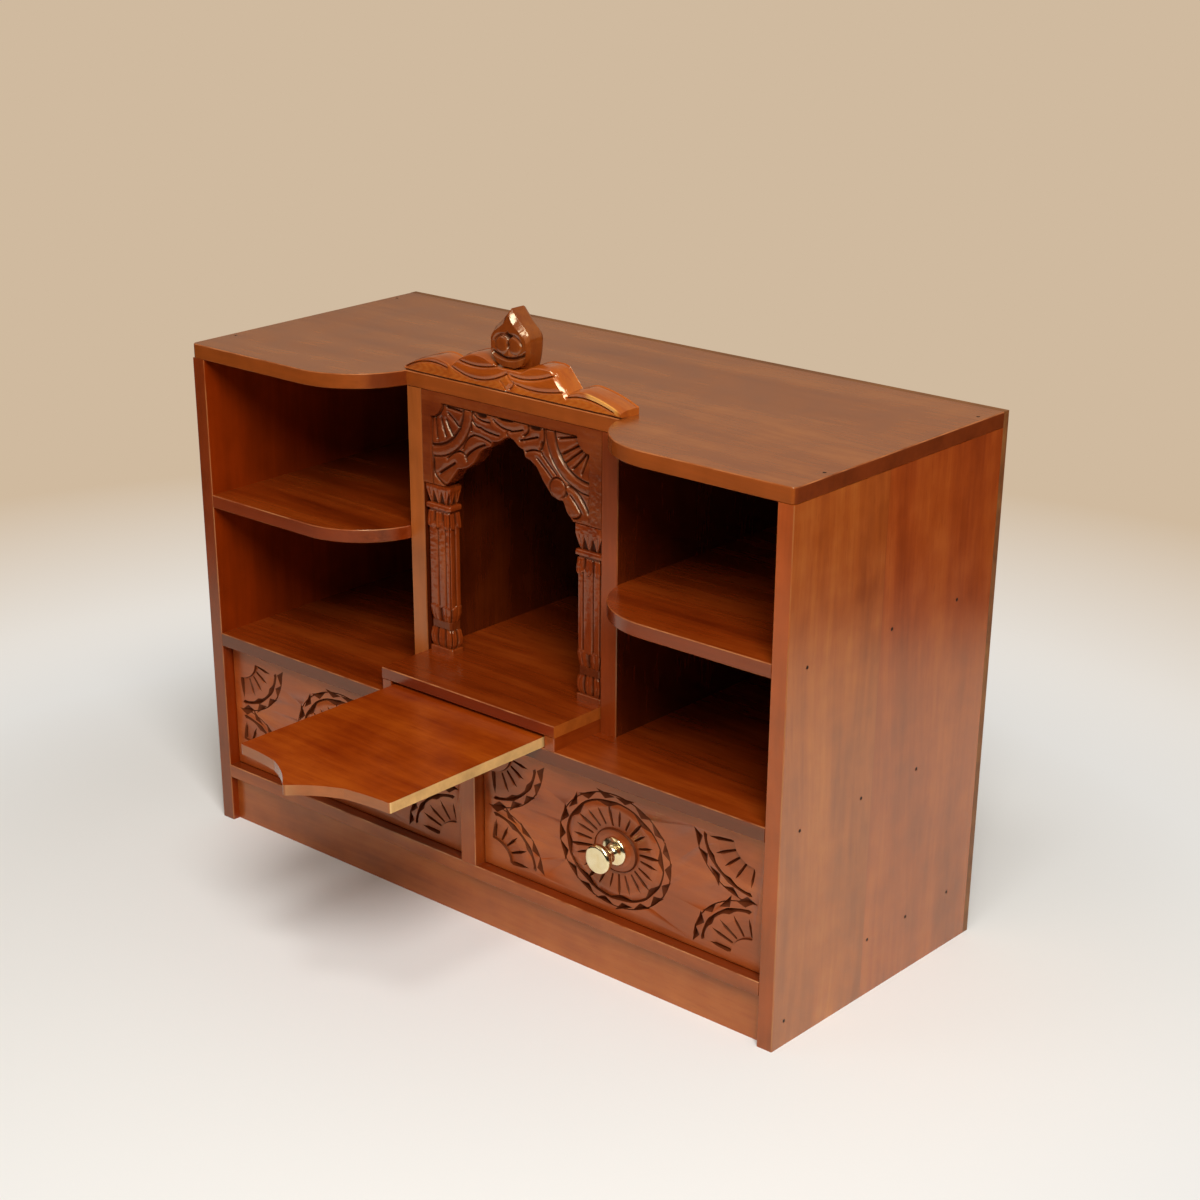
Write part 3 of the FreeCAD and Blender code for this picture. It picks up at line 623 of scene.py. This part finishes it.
def arch_panel():
    """The cusped arch board: fans inside a band in its corners, broad leaves, curls and pits on the edge."""
    low, high = box_mm("arch_panel")
    half_width, spring, top = high.x, low.z, high.z
    front, back = low.y, high.y
    # The opening's edge from crown to spring on the left and on the right: distance from the middle, height
    edges = (((0, 367.6), (4, 366.8), (8, 364), (13, 361.8), (17.4, 361.2), (18, 357.8), (26, 354.5),
              (30, 351), (33, 346), (37, 341), (42, 337.5), (48, 335), (52, 334.3), (57, 328), (62, 322),
              (67, 319)),
             ((0, 367.6), (4, 366.4), (9, 362.2), (14, 361), (14.6, 356), (20, 354.6), (26, 351), (30, 345.5),
              (33, 341), (37, 337), (40, 333), (46, 331), (51, 331.3), (53, 328), (55, 323), (59, 320)))
    # Strokes of the V tool, as sweeps through three points x, z, and half of each stroke's width
    strokes = (
        # Left fan, curl and leaves
        (-75, 369.5, -74.5, 362, -73, 354, 1.1), (-69.5, 369, -67.5, 363.5, -64.5, 357, 1.3),
        (-64, 369, -61, 364, -57, 358.5, 1.3), (-62, 374, -56, 370.5, -50.5, 366, 1.1),
        (-63, 379, -55, 378.6, -48, 378, 1.0), (-44.5, 344.5, -37, 351.5, -25, 357.6, 1.1),
        (-47, 350.5, -42.5, 358.5, -36, 362.8, 0.8), (-36, 363, -28, 362.6, -19, 360.6, 0.8),
        (-51, 348.3, -45.5, 347, -43.5, 342.5, 0.9), (-63, 340.5, -57, 345.5, -50, 348.3, 0.7),
        (-71.5, 327.8, -63, 333.5, -55.5, 338.3, 1.2), (-76, 326.5, -71.5, 322.5, -66, 319.6, 0.8),
        # Leaves over the crown
        (-36, 379.5, -30, 375.6, -20, 375, 0.8), (-36.5, 374, -34, 370.5, -29, 369.6, 0.8),
        (-29, 369.6, -21, 367.6, -11, 367, 0.9), (-16, 377.5, -8, 373.8, 1, 373, 0.9),
        (0, 372.3, 6, 373.5, 12.5, 375.6, 0.8), (17.5, 380.5, 17.5, 375.5, 13.5, 371.5, 1.2),
        (10, 367.6, 18, 370, 27, 373, 0.9), (32.5, 380.5, 32.5, 371, 29, 364.2, 1.2),
        (-3, 372, -3, 370, -2, 368, 0.6),
        # Right fan and leaves
        (50, 365, 57.5, 369.5, 65, 374, 1.1), (53, 359.5, 60, 365, 68.5, 371.5, 1.0),
        (60, 356.5, 66, 362.5, 72, 370, 1.1), (68, 354, 71, 362, 74, 370, 1.0),
        (47, 376, 55, 377.8, 63, 379.8, 1.0), (26.5, 357.5, 33.5, 352, 39.5, 346.5, 1.0),
        (31, 361.3, 37.5, 355.3, 44, 349.5, 0.9), (15.5, 360.4, 24, 363.2, 31, 362.4, 0.8),
        (56, 343.5, 66, 338.5, 74.5, 327, 1.6), (58, 336.3, 63, 331.5, 67.5, 326, 1.0),
        (67.5, 326, 65, 322, 60, 320.4, 0.8))
    # Pits where the ground shows between the leaves: middle, and half their size
    pits = ((-27.5, 379.2, 5.8, 2.2), (-4, 380.2, 9, 1.6), (24.5, 379.2, 6.2, 2.0), (-76.8, 333, 1.7, 6.8),
            (-37.7, 368, 1.2, 3.6), (31, 367.5, 1.4, 4.0), (54, 337.5, 1.6, 2.6))
    disc_x, disc_z, disc_size = 46.0, 339.8, 7.6
    # The fans' middles, and how far from them their hub, their rays and the band round them reach
    fan_left, fan_right, fan_top = -79.0, 76.5, 382.0
    hub, rays_end, band_middle, band_end = 12.5, 33.4, 37.8, 42.0
    band_half = band_end - band_middle
    # The field that the carving stays in
    field_left, field_right, field_top = -78.5, 76.2, 381.3

    def edge_at(x):
        """The opening's edge, with its corners eased over a couple of millimetres."""
        height = 0
        for step in (-0.7, 0.0, 0.7):
            both = [np.interp(np.abs(x + step), *zip(*points), right=spring) for points in edges]
            height = height + np.where(x < 0, *both) / 3
        return height

    def relief(x, z, edge):
        """Height of the carving, and how deep the tool went."""
        reach = np.hypot(x - np.where(x < 0, fan_left, fan_right), z - fan_top)
        raised = np.full(x.shape, -0.5)
        raised = np.where(reach < band_end, -0.3 - 0.6 * ((reach - band_middle) / band_half) ** 2, raised)
        raised = np.where(reach < band_middle - band_half, -1.6 + 0.9 * eased(reach, 14, 32), raised)
        deep = np.maximum(2.0 * notch(reach, rays_end, 1.6), 1.5 * notch(reach, band_end, 1.0))
        sunk = np.zeros_like(x)
        for stroke in strokes:
            off = from_line(x, z, (stroke[0:2], stroke[2:4], stroke[4:6]), 8)
            deep = np.maximum(deep, 1.9 * notch(off, 0.0, stroke[6]))
            sunk = np.maximum(sunk, 0.9 * notch(off, 0.0, stroke[6] + 3.2) ** 2)
        for x_mid, z_mid, x_half, z_half in pits:
            share = np.hypot((x - x_mid) / x_half, (z - z_mid) / z_half)
            deep = np.maximum(deep, 2.4 * np.clip(2.2 * (1 - share), 0, 1))
        disc = np.hypot(x - disc_x, z - disc_z)
        inside = disc < disc_size
        raised = np.where(inside, -0.2 - 0.5 * (disc / disc_size) ** 4, raised)
        deep = np.where(inside, 0, deep)
        sunk = np.where(inside, 0, sunk)
        deep = np.maximum(deep, 1.8 * notch(disc, disc_size, 1.0) * eased(z, 332.5, 335))
        deep = np.maximum(deep, 1.5 * notch(reach, hub, 0.9))
        field = np.minimum(np.minimum(x - field_left, field_right - x), field_top - z)
        deep = np.maximum(deep, 1.3 * notch(field, 0.5, 0.8))
        plain = (field < 0) | (reach < hub - 0.5)
        height = np.where(plain, 0, raised - deep - sunk)
        height = height - 1.3 * np.clip(1 - (z - edge) / 1.6, 0, 1) ** 2
        return height, np.where(plain, 0, np.clip(deep / 1.5, 0, 1))

    def place(u, v):
        x = (2 * u - 1) * half_width
        edge = edge_at(x)
        # Up the front, over the top, down the back and under the edge
        turn = np.array((0.0, 0.86, 0.90, 0.97, 1.0))
        z = edge + (top - edge) * np.interp(v, turn, (0, 1, 1, 0, 0))
        height, cut = relief(x, z, edge)
        rear = np.interp(v, turn, (0, 0, 1, 1, 0))
        y = (front - height) * (1 - rear) + back * rear
        return x, y, z, cut * (1 - rear)

    return shaped("arch_panel_carved", 420, 190, place)


arch_wood = varnished_wood("arch board, carved and varnished", "#571d09", "#6d2b0d", "#813d18", "x",
                           (0.1, 0.8, 0.6), gloss=0.20, cut_tone="#2a0c04", shine=0.35, tool=0.35)
stands_for(arch_panel(), "arch_panel", "cabinet", arch_wood)


# Columns

def column(name, node, reeds, drop):
    """A carved column: petalled bulb and cup, broad reeds, a skirt of drops, a ring and a leaf capital.

    reeds are the shares of the front's width where the shaft's grooves run, and drop lowers the skirt and
    the ring.
    """
    low, high = box_mm(node)
    middle_x, middle_y = (low.x + high.x) / 2, (low.y + high.y) / 2
    half_x, half_y = (high.x - low.x) / 2, (high.y - low.y) / 2
    tall = high.z - low.z
    # Round the section: a third for the front, a sixth for each side, a third for the back
    corners = (0, 1 / 3, 1 / 2, 5 / 6, 1)
    reed_marks = (0, reeds[0] / 3, reeds[1] / 3, 1 / 3, 0.42, 1 / 2, 2 / 3, 5 / 6, 0.92, 1)
    three_marks = (0, 1 / 9, 2 / 9, 1 / 3, 0.42, 1 / 2, 0.61, 0.72, 5 / 6, 0.92, 1)
    two_marks = (0, 1 / 6, 1 / 3, 1 / 2, 2 / 3, 5 / 6, 1)
    foot_top, bulb_top, cup_foot, cup_top = 4.8, 20, 26, 38.6
    skirt_foot, skirt_top, ring_top, capital = 99.6 - drop, 111.8 - drop, 118.2 - drop, 11.0
    shaft_width, corner = 0.87, 2.2
    # Heights over the foot and shares of the full width there
    outline = ((0, 0.93), (4.4, 0.93), (5.0, 0.80), (8, 0.92), (13, 0.96), (18, 0.88), (bulb_top, 0.79),
               (25.5, 0.79), (27, 0.84), (32, 0.95), (36.5, 0.97), (cup_top, 0.95), (39.2, shaft_width),
               (99 - drop, shaft_width), (100 - drop, 1.0), (106 - drop, 0.97), (111.6 - drop, 0.91),
               (112 - drop, 0.81), (113.4 - drop, 0.81), (114.2 - drop, 0.99), (116 - drop, 1.0),
               (117.6 - drop, 0.97), (ring_top, 0.83), (124 - drop, 0.90), (130 - drop, 1.0), (tall, 1.0))

    def between(v, marks):
        """0 midway between two marks, and 1 on them."""
        marks = np.array(marks)
        i = np.clip(np.searchsorted(marks, v, side="right") - 1, 0, len(marks) - 2)
        return np.abs(2 * (v - marks[i]) / (marks[i + 1] - marks[i]) - 1)

    def place(u, v):
        z = tall * u
        flat_x = np.interp(v, corners, (-1, 1, 1, -1, -1))
        flat_y = np.interp(v, corners, (-1, -1, 1, 1, -1))
        reed, three, two = between(v, reed_marks), between(v, three_marks), between(v, two_marks)
        wide = np.interp(z, *zip(*outline))
        cup_edge = cup_top - 2.6 * two ** 2
        skirt_edge = skirt_foot + 6.0 * three ** 2
        shaft = (z > cup_edge) & (z < skirt_edge)
        wide = np.where(shaft, shaft_width, wide)
        rise = (z - ring_top) / capital
        petals = 1.9 * three ** 3 + 0.5 * notch(three, 0.0, 0.2)
        depth = np.where((z > foot_top) & (z < bulb_top), petals, 0)
        cup_leaves = 1.8 * two ** 2 + 0.6 * notch(two, 0.0, 0.2)
        depth = np.where((z >= cup_foot) & (z <= cup_edge), cup_leaves, depth)
        depth = np.where(shaft, 0.4 * reed ** 2 + 1.5 * reed ** 9, depth)
        depth = np.where((z >= skirt_edge) & (z < skirt_top), petals, depth)
        between_leaves = 2.0 * eased(three - rise, 0.0, 0.25) + 0.6 * notch(three, 0.0, 0.2)
        depth = np.where((rise > 0) & (rise < 1), between_leaves, depth)
        reach_x, reach_y = half_x * wide, half_y * wide
        point_x, point_y = flat_x * reach_x, flat_y * reach_y
        core_x = np.clip(point_x, corner - reach_x, reach_x - corner)
        core_y = np.clip(point_y, corner - reach_y, reach_y - corner)
        out_x, out_y = point_x - core_x, point_y - core_y
        size = np.maximum(np.hypot(out_x, out_y), 1e-6)
        radius = corner - depth
        x = middle_x + core_x + out_x / size * radius
        y = middle_y + core_y + out_y / size * radius
        # Deeper carving is darkened, partly stain in the cuts and partly painted shade, and the narrow waists
        # carry painted shade of the recesses
        recess_shade = np.clip((0.86 - wide) / 0.06, 0, 1) * 0.55
        return x, y, low.z + z, np.clip(np.maximum((depth - 0.3) / 1.4, recess_shade), 0, 1)

    return shaped(name, 320, 216, place)


for hand, seat, reeds, drop in (("left", (0.35, 0.55, 0.15), (0.44, 0.78), 0.0),
                                ("right", (0.65, 0.25, 0.95), (0.24, 0.67), 4.0)):
    wood = varnished_wood(f"column, carved and varnished, {hand}", "#62200a", "#7a2f0c", "#8e4014", "z", seat,
                          gloss=0.13, cut_tone="#240a03", shine=0.4, tool=0.35)
    made = column(f"{hand}_column_carved", f"{hand}_column", reeds, drop)
    stands_for(made, f"{hand}_column", "cabinet", wood)


# Crest and finial

def crest():
    """The crest: leaf scrolls rising from both ends to the finial's seat, uneven as hand work is."""
    low, high = box_mm("crest")
    half, foot = high.x, low.z
    front, back = low.y, high.y
    # Sweeps through three points each: x, and height over the foot
    outline = (
        ((-half, 4.0), (-90, 10.6), (-75, 14.8)), ((-75, 14.8), (-66, 14.6), (-57, 11.0)),
        ((-57, 11.0), (-46, 19.4), (-33, 24.0)), ((-33, 24.0), (-22, 22.8), (-12.5, 18.0)),
        ((-12.5, 18.0), (0, 18.0), (12.5, 18.0)), ((12.5, 18.0), (22, 22.6), (34, 24.0)),
        ((34, 24.0), (38, 23.9), (42, 22.4)), ((42, 22.4), (48, 15.5), (54, 8.6)),
        ((54, 8.6), (62, 12.4), (70, 14.0)), ((70, 14.0), (88, 10.8), (half, 5.0)))
    # Strokes of the V tool. Under the first four the wood is cut back to a wedge
    strokes = (
        ((-103, 2.9), (-82, 9.7), (-61, 8.3)), ((-58, 11.0), (-30, 4.9), (-2, 13.3)),
        ((7, 7.2), (27, 5.7), (50, 8.9)), ((54, 5.7), (73, 8.2), (97, 3.1)),
        ((-50, 16.3), (-31, 14.3), (-12, 17.4)), ((2, 12.9), (20, 12.8), (42, 19.0)),
        ((4.3, 8.0), (3, 5), (0, 2.7)))
    wedges = 4
    line_depth, knot_x, knot_z, knot_half = 1.1, -2.5, 7.5, 6.5
    face_end, top_end, rolled, bevel = 0.60, 0.80, 1.8, 0.87

    def relief(x, z, top):
        """Height of the carving, how deep the tool went, with a painted shadow at the foot, and how thin the
        stain was wiped, with a painted highlight.
        """
        deep = np.zeros_like(x)
        sunk = np.zeros_like(x)
        rub = np.zeros_like(x)
        for i, points in enumerate(strokes):
            off = from_line(x, z, points)
            deep = np.maximum(deep, line_depth * notch(off, 0.0, 0.75))
            sunk = np.maximum(sunk, 0.8 * notch(off, 0.0, 4.5) ** 2)
            if i < wedges:
                start, end = points[0][0], points[2][0]
                ends = eased(x, start - 5, start + 3) * eased(-x, -end - 5, 3 - end)
                below = ends * eased(-off, 0.2, 1.2)
                sunk = np.maximum(sunk, 0.9 * below * np.clip(1 + off / 6, 0, 1))
                rub = np.maximum(rub, below * (0.08 + 0.05 * np.sin(x * 0.9 + 2 * np.sin(z))))
        # A golden strip along the right outer leaf is a painted highlight
        strip = eased(x, 70, 78) * eased(-x, -104, -98)
        strip = strip * eased(top - z, 0.6, 1.4) * eased(z - top, -5.2, -4.0)
        rub = np.maximum(rub, strip)
        knot = 1 - np.abs(x - knot_x) / knot_half - np.abs(z - knot_z) / knot_half
        sunk = np.where(knot > 0, 1.0 - np.clip(knot * 2, 0, 1), sunk)
        # The foot is cut back into a gap, and its dark tone there is painted shadow under the crest
        gap = np.clip((1.3 - z) / 0.5, 0, 1)
        deep = np.maximum(deep, 1.4 * gap)
        return -(deep + sunk), np.clip(deep / line_depth, 0, 1) - rub * np.clip(1 - deep / 0.3, 0, 1)

    def place(u, v):
        x = (2 * u - 1) * half
        top = edge_height(x, outline)
        # Up the front, over the top, down the back and under the foot
        turn = np.array((0.0, face_end, top_end, 0.95, 1.0))
        z = top * np.interp(v, turn, (0, 1, 1, 0, 0))
        rear = np.interp(v, turn, (0, 0, 1, 1, 0))
        on_face = v <= face_end
        crown = (v > face_end) & (v < top_end)
        height, cut = relief(x, z, top)
        y = (front - height) * (1 - rear) + back * rear
        # The front's upper edge leans back: a small roll, and a broad flat bevel down the curl on the right
        curl = eased(x, 38, 43) * eased(-x, -58, -54)
        roll = 2.2 + 2.4 * curl
        near = np.clip(1 - (top - z) / roll, 0, 1) * on_face
        y += rolled * (1 - curl) * near ** 2 + bevel * roll * curl * near
        lip_at_top = rolled * (1 - curl) + bevel * roll * curl
        ends = np.minimum(rear, 1 - rear) * (back - front)
        z = np.where(crown, z - 0.9 * np.clip(1 - ends / 6, 0, 1) ** 2, z)
        z = np.where(on_face, z - 0.9 * near ** 3, z)
        y = np.where(crown, front + lip_at_top + (back - front - lip_at_top) * rear, y)
        return x, y, foot + z, cut * on_face

    return shaped("crest_carved", 420, 120, place)


def finial():
    """The bud on the crest: an onion with a bevelled face, two domed lobes under a pit, and a lip below."""
    low, high = box_mm("finial")
    half, foot, tall = high.x, low.z, high.z - low.z
    front, thick = low.y, high.y - low.y
    middle_z = 0.40 * tall
    # The carving's middle, and shares from the face's middle over its bevel and flank to the back's middle
    carved_x = -0.8
    face_end, bevel_end = 0.60, 0.72
    stages = (0, face_end, bevel_end, 0.86, 0.93, 1.0)
    # Sweeps of the outline, as shares of half the width and of the height
    bulge = ((0.36, 0.0), (0.86, 0.15), (0.99, 0.41))
    shoulder = ((0.99, 0.41), (0.96, 0.57), (0.74, 0.69))
    point = ((0.74, 0.69), (0.36, 0.835), (0.0, 1.0))
    seat = ((0.80, 0.0), (0.93, 0.20), (0.99, 0.41))

    def place(u, v):
        side = np.where(v < 0.5, 1, -1)
        way = np.where(v < 0.5, 2 * v, 2 - 2 * v)
        depth = np.interp(u, stages, (0, 0.0, 4.0, thick - 2, thick, thick))

        def rim(lower):
            """From the middle of the foot out, round the lower sweep and up to the tip."""
            rim_x, rim_z = np.interp(way, (0, 0.12), (0, lower[0][0])), np.zeros_like(way)
            for start, sweep in ((0.12, lower), (0.40, shoulder), (0.70, point)):
                part_x, part_z = swept(np.clip((way - start) / 0.29, 0, 1), *sweep)
                rim_x = np.where(way >= start, part_x, rim_x)
                rim_z = np.where(way >= start, part_z, rim_z)
            return np.stack((side * half * rim_x, tall * rim_z))

        # Round in front, and straight down to the crest behind
        behind = eased(depth, 4, 9)
        rim_x, rim_z = rim(bulge) * (1 - behind) + rim(seat) * behind
        # The bevel round the face is narrow at the bulge and 3 mm wide along the upper flanks
        face_share = np.interp(way, (0, 0.3, 0.45, 0.65, 0.85, 1.0), (0.95, 0.97, 0.95, 0.82, 0.77, 0.86))
        ring = np.interp(u, stages, (0, 1.0, 2.0, 2.0, 1.9, 0.0))
        ring = np.where(u <= face_end, ring * face_share,
                        np.where(u < bevel_end, face_share + (1 - face_share) * (ring - 1), ring / 2))
        x = rim_x * ring
        z = middle_z + (rim_z - middle_z) * ring
        deep = np.zeros_like(u)
        dome = np.full(u.shape, -9.0)
        lobe_off, lobe_size = 6.2, 6.3
        for curl, high_up in ((-1, 15.4), (1, 16.4)):
            lobe = np.hypot((x - carved_x - curl * lobe_off) / lobe_size, (z - high_up) / lobe_size)
            swell = -0.9 + 1.0 * np.sqrt(np.clip(1 - lobe ** 2, 0, 1))
            dome = np.maximum(dome, np.where(lobe < 1, swell, -9))
            deep = np.maximum(deep, np.where(lobe >= 1, 0.9 * np.clip(1 - (lobe - 1) / 0.4, 0, 1), 0))
        height = np.where(dome > -9, dome, -deep)
        pit = np.abs(x - carved_x) / 4.6 + np.abs(z - 22.6) / 3.6
        slit = np.hypot((x - carved_x) / 1.9, (z - 16.0) / 3.6)
        height -= 3.4 * np.clip(1.3 * (1 - pit), 0, 1) + 2.2 * np.clip(1.2 * (1 - slit), 0, 1)
        brow = from_line(np.abs(x - carved_x), z, ((0.0, 23.4), (6.5, 22.6), (13.0, 17.5)))
        height -= 0.8 * notch(brow, 0.0, 1.2)
        below = from_line(x, z, ((-14.5, 9.6), (0.5, 6.6), (16.5, 12.0)))
        height -= 2.2 * notch(below, 0.0, 1.7) + 0.5 * notch(below, 0.0, 4.0) ** 2
        height = np.where(u <= face_end, np.minimum(height, 0), 0)
        return x, front + depth - height, foot + z, np.clip(-(height + 0.6) / 1.6, 0, 1)

    return shaped("finial_carved", 140, 180, place)


crest_wood = varnished_wood("crest, carved and varnished", "#7e330b", "#a04910", "#b8611a", "x",
                            (0.45, 0.65, 0.05), gloss=0.17, cut_tone="#431706", rubbed="#dc9a44", tool=0.06)
stands_for(crest(), "crest", "cabinet", crest_wood)
finial_wood = varnished_wood("finial, carved and varnished", "#60250a", "#77340d", "#8e4814", "z",
                             (0.25, 0.15, 0.75), gloss=0.17, cut_tone="#2e0d04", tool=0.15)
stands_for(finial(), "finial", "cabinet", finial_wood)


# Camera at the photograph's angle
camera = bpy.data.objects.new("camera", bpy.data.cameras.new("camera"))
bpy.context.scene.collection.objects.link(camera)
eye = Vector((1.0921, -1.1177, 0.8142))
to_right = Vector((0.73095, 0.68236, -0.00892))
to_top = Vector((-0.27818, 0.30987, 0.90917))
look = Vector((-0.62315, 0.66209, -0.41632))
camera.matrix_world = Matrix.Translation(eye) @ Matrix((to_right, to_top, -look)).transposed().to_4x4()
camera.data.sensor_width = 36
camera.data.lens = 68.92
camera.data.shift_x = 0.0680
camera.data.shift_y = 0.1652
camera.data.clip_end = 100
bpy.context.scene.camera = camera


# Floor, light and background

def seen_directly(tree):
    """1 where the eye, a mirror or glass looks straight at a surface, and 0 where it lights others."""
    path = add(tree, "LightPath").outputs
    seen = add(tree, "Math", {0: path["Is Camera Ray"], 1: path["Is Glossy Ray"]}, operation="MAXIMUM")
    return add(tree, "Math", {0: seen, 1: path["Is Transmission Ray"]}, operation="MAXIMUM")


beige = linear("#d0ba9f")
bpy.ops.object.select_all(action="DESELECT")
bpy.ops.mesh.primitive_plane_add(size=60, location=(0, 0, 0))
floor = bpy.context.active_object
floor.name = "floor"
material = bpy.data.materials.new("painted floor, matt white running to beige")
tree = bare_tree(material)
place = add(tree, "TexCoord").outputs["Object"]
far = add(tree, "VectorMath", {0: place}, operation="LENGTH").outputs["Value"]
tint = add(tree, "ValToRGB", {"Fac": add(tree, "MapRange", {0: far, 1: 0.0, 2: 2.0})},
           stops=((0.30, linear("#edebe7")), (0.62, beige)))
painted = add(tree, "BsdfPrincipled", {"Base Color": tint, "Roughness": 0.6})
# Far from the object the floor shows its own colour to the eye and in reflections, with no fall-off of light
away = add(tree, "MapRange", {0: far, 1: 0.36, 2: 0.80}, interpolation_type="SMOOTHSTEP")
blend = add(tree, "Math", {0: seen_directly(tree), 1: away}, operation="MULTIPLY")
glow = add(tree, "Emission", {"Color": tint, "Strength": 1.0})
add(tree, "OutputMaterial", {"Surface": add(tree, "MixShader", {0: blend, 1: painted, 2: glow})})
floor.data.materials.append(material)

# A low ring of dark card round the table keeps the far floor out of the varnish, as a studio flag does
card_height = 0.5
bpy.ops.object.select_all(action="DESELECT")
bpy.ops.mesh.primitive_cylinder_add(vertices=96, radius=0.92, depth=card_height, end_fill_type="NOTHING",
                                    location=(0, 0.1, card_height / 2))
card = bpy.context.active_object
card.name = "dark_card"
for kind in ("camera", "diffuse", "transmission", "volume_scatter", "shadow"):
    setattr(card, f"visible_{kind}", False)
material = bpy.data.materials.new("dark card, matt")
tree = bare_tree(material)
pulp = add(tree, "TexNoise", {"Vector": add(tree, "TexCoord").outputs["Object"], "Scale": 8.0})
shade = add(tree, "ValToRGB", {"Fac": pulp}, stops=((0.3, linear("#1c120b")), (0.7, linear("#2a1c12"))))
shader = add(tree, "BsdfPrincipled", {"Base Color": shade, "Roughness": 0.9})
add(tree, "OutputMaterial", {"Surface": shader})
card.data.materials.append(material)

world = bpy.data.worlds.new("studio")
bpy.context.scene.world = world
tree = bare_tree(world)
lighting = add(tree, "Background", {"Color": linear("#f8eedd"), "Strength": 0.27})
backdrop = add(tree, "Background", {"Color": beige, "Strength": 0.8})
shown = add(tree, "MixShader", {0: seen_directly(tree), 1: lighting, 2: backdrop})
add(tree, "OutputWorld", {"Surface": shown})


def lamp(name, place, aim, size, power):
    """A round soft white lamp."""
    light = bpy.data.lights.new(name, "AREA")
    light.shape = "DISK"
    light.size = size
    light.energy = power
    made = bpy.data.objects.new(name, light)
    bpy.context.scene.collection.objects.link(made)
    made.location = place
    made.rotation_euler = (Vector(aim) - Vector(place)).to_track_quat("-Z", "Y").to_euler()


shrine_middle, shrine_top = (0, 0.1, 0.2), (0, 0.1, 0.3)
lamp("key", (1.5, -1.2, 2.0), shrine_middle, 1.15, 64)
lamp("fill", (-1.6, -2.0, 1.6), shrine_middle, 1.8, 7)
lamp("glint", (0.5, -0.75, 2.4), shrine_top, 0.45, 8)

bpy.context.scene.view_settings.view_transform = "Standard"
